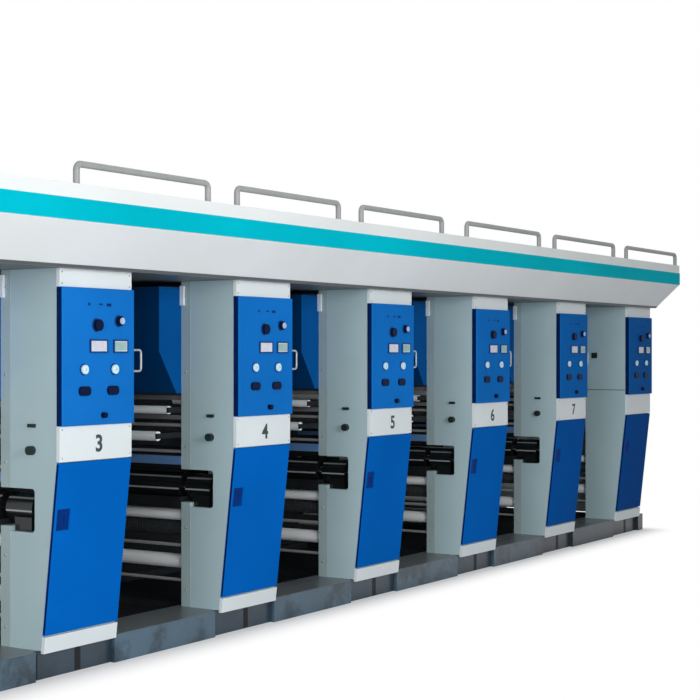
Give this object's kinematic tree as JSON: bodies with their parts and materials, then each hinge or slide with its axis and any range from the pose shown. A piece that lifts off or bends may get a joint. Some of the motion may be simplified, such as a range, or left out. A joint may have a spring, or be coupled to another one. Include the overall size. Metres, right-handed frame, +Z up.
{
  "type": "rotogravure printing machine",
  "caption": "Row of gravure printing units under one overhanging header, with blue control panels, hinged lower doors, drying hoods, roller trains and dark printing cylinders in side slots.",
  "frame": {"origin": "on the floor under the middle of the machine", "axes": "+X along the machine towards the closed end unit, -Y towards the operator, +Z up"},
  "size_m": [9.1, 2.506, 2.603],
  "materials": {
    "grey_paint": "satin enamel on the column housings",
    "plate_paint": "satin enamel on the wall plates",
    "blue_paint": "semi-gloss blue enamel",
    "door_paint": "semi-gloss blue enamel",
    "hood_paint": "satin deep blue enamel",
    "white_paint": "semi-gloss white enamel",
    "header_paint": "semi-gloss pale grey enamel",
    "stripe_paint": "semi-gloss turquoise enamel",
    "base_paint": "glossy slate enamel",
    "dark_paint": "satin near-black enamel",
    "bar_paint": "satin slate-blue enamel",
    "rubber_black": "ground rubber",
    "cylinder_black": "glossy dark sleeve",
    "roller_alloy": "ground anodised aluminium",
    "bright_steel": "brushed steel",
    "tray_steel": "brushed stainless steel",
    "chrome_bright": "polished chrome",
    "hoop_paint": "satin light grey enamel",
    "knob_plastic": "moulded black plastic",
    "button_plastic": "moulded pale plastic",
    "display_plastic": "clear faced instrument",
    "lamp_plastic": "diffusing white plastic"
  },
  "bodies": {
    "machine": {"front_columns": "grey_paint", "rear_columns": "grey_paint", "front_wall_plates": "plate_paint", "rear_wall_plates": "plate_paint", "base_front_rail": "base_paint", "base_rear_rail": "base_paint", "base_cross_beams": "dark_paint", "base_floor_pans": "dark_paint", "header_housing": "header_paint", "header_stripe": "stripe_paint", "guard_hoops": "hoop_paint", "cap_plates": "white_paint", "control_panels": "blue_paint", "number_plates": "white_paint", "kick_plates": "white_paint", "rear_column_covers": "blue_paint", "rear_closing_panels": "dark_paint", "end_closing_panel": "dark_paint", "drying_hoods": "hood_paint", "cylinder_bearings": "dark_paint", "impression_rollers": "rubber_black", "guide_rollers": "roller_alloy", "dark_rollers": "rubber_black", "roller_arms": "dark_paint", "tie_bars": "bar_paint", "guide_rods": "bright_steel", "ink_trays": "tray_steel", "grab_handles": "chrome_bright", "side_fittings": "knob_plastic", "end_cover_panels": "grey_paint", "cover_catch": "knob_plastic", "column_lamps": "lamp_plastic", "control_displays": "display_plastic", "control_buttons": "button_plastic", "control_grips": "knob_plastic"},
    "door_1": {"lower_door_1": "door_paint"},
    "door_2": {"lower_door_2": "door_paint"},
    "door_3": {"lower_door_3": "door_paint"},
    "door_4": {"lower_door_4": "door_paint"},
    "door_5": {"lower_door_5": "door_paint"},
    "door_6": {"lower_door_6": "door_paint"},
    "cylinder_1": {"gravure_cylinder_1": "cylinder_black"},
    "cylinder_2": {"gravure_cylinder_2": "cylinder_black"},
    "cylinder_3": {"gravure_cylinder_3": "cylinder_black"},
    "cylinder_4": {"gravure_cylinder_4": "cylinder_black"},
    "cylinder_5": {"gravure_cylinder_5": "cylinder_black"}
  },
  "joints": [
    {"name": "door_1_hinge", "type": "hinge", "parent": "machine", "child": "door_1", "pos_m": [-2.96, -0.9805, 1.105], "axis": [0, -0.1101, 0.9939], "range_deg": [0, 100]},
    {"name": "door_2_hinge", "type": "hinge", "parent": "machine", "child": "door_2", "pos_m": [-1.48, -0.9805, 1.105], "axis": [0, -0.1101, 0.9939], "range_deg": [0, 100]},
    {"name": "door_3_hinge", "type": "hinge", "parent": "machine", "child": "door_3", "pos_m": [0, -0.9805, 1.105], "axis": [0, -0.1101, 0.9939], "range_deg": [0, 100]},
    {"name": "door_4_hinge", "type": "hinge", "parent": "machine", "child": "door_4", "pos_m": [1.48, -0.9805, 1.105], "axis": [0, -0.1101, 0.9939], "range_deg": [0, 100]},
    {"name": "door_5_hinge", "type": "hinge", "parent": "machine", "child": "door_5", "pos_m": [2.96, -0.9805, 1.105], "axis": [0, -0.1101, 0.9939], "range_deg": [0, 100]},
    {"name": "door_6_hinge", "type": "hinge", "parent": "machine", "child": "door_6", "pos_m": [4.44, -0.9805, 1.105], "axis": [0, -0.1101, 0.9939], "range_deg": [0, 100]},
    {"name": "cylinder_1_spin", "type": "hinge", "parent": "machine", "child": "cylinder_1", "pos_m": [-3.395, 0, 0.8575], "axis": [0, 1, 0], "continuous": true},
    {"name": "cylinder_2_spin", "type": "hinge", "parent": "machine", "child": "cylinder_2", "pos_m": [-1.915, 0, 0.8575], "axis": [0, 1, 0], "continuous": true},
    {"name": "cylinder_3_spin", "type": "hinge", "parent": "machine", "child": "cylinder_3", "pos_m": [-0.435, 0, 0.8575], "axis": [0, 1, 0], "continuous": true},
    {"name": "cylinder_4_spin", "type": "hinge", "parent": "machine", "child": "cylinder_4", "pos_m": [1.045, 0, 0.8575], "axis": [0, 1, 0], "continuous": true},
    {"name": "cylinder_5_spin", "type": "hinge", "parent": "machine", "child": "cylinder_5", "pos_m": [2.525, 0, 0.8575], "axis": [0, 1, 0], "continuous": true}
  ]
}
